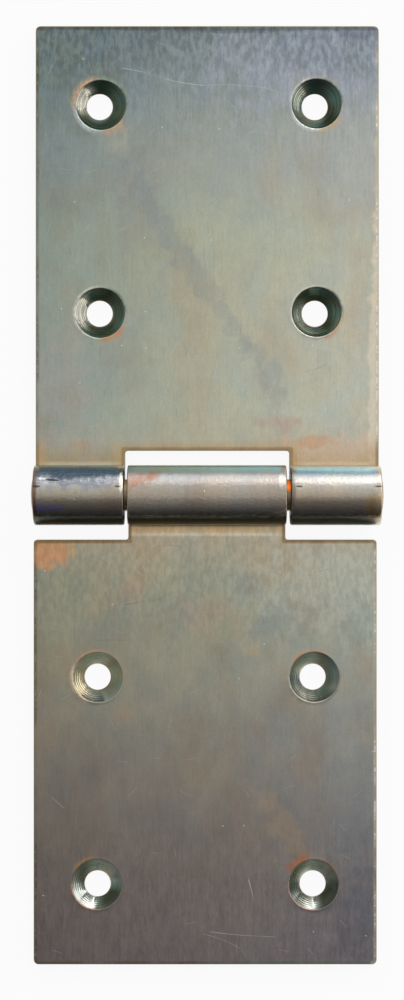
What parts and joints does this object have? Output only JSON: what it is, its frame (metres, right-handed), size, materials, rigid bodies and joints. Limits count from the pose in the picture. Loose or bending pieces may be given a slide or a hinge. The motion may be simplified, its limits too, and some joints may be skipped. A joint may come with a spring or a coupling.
{
  "type": "butt hinge",
  "caption": "Steel butt hinge with long flat leaves, rolled knuckles on a riveted through pin, and countersunk screw holes.",
  "frame": {"origin": "under the middle of the pin, on the plane of the leaf backs, hinge open and flat", "axes": "+X along the pin, +Y towards the leaf with two knuckles, +Z out of the countersunk faces"},
  "size_m": [0.051, 0.1368, 0.0087],
  "materials": {
    "leaf_steel": "bright zinc plating with a faint yellow and blue tint, lightly scratched",
    "pin_steel": "drawn steel wire, plated with the leaves, orange brown tint"
  },
  "bodies": {
    "fixed_leaf": {"two_knuckle_leaf": "leaf_steel", "hinge_pin": "pin_steel"},
    "swinging_leaf": {"one_knuckle_leaf": "leaf_steel"}
  },
  "joints": [
    {"name": "leaf_swing", "type": "hinge", "parent": "fixed_leaf", "child": "swinging_leaf", "pos_m": [0, 0, 0.00435], "axis": [-1, 0, 0], "range_deg": [-110, 183]}
  ]
}
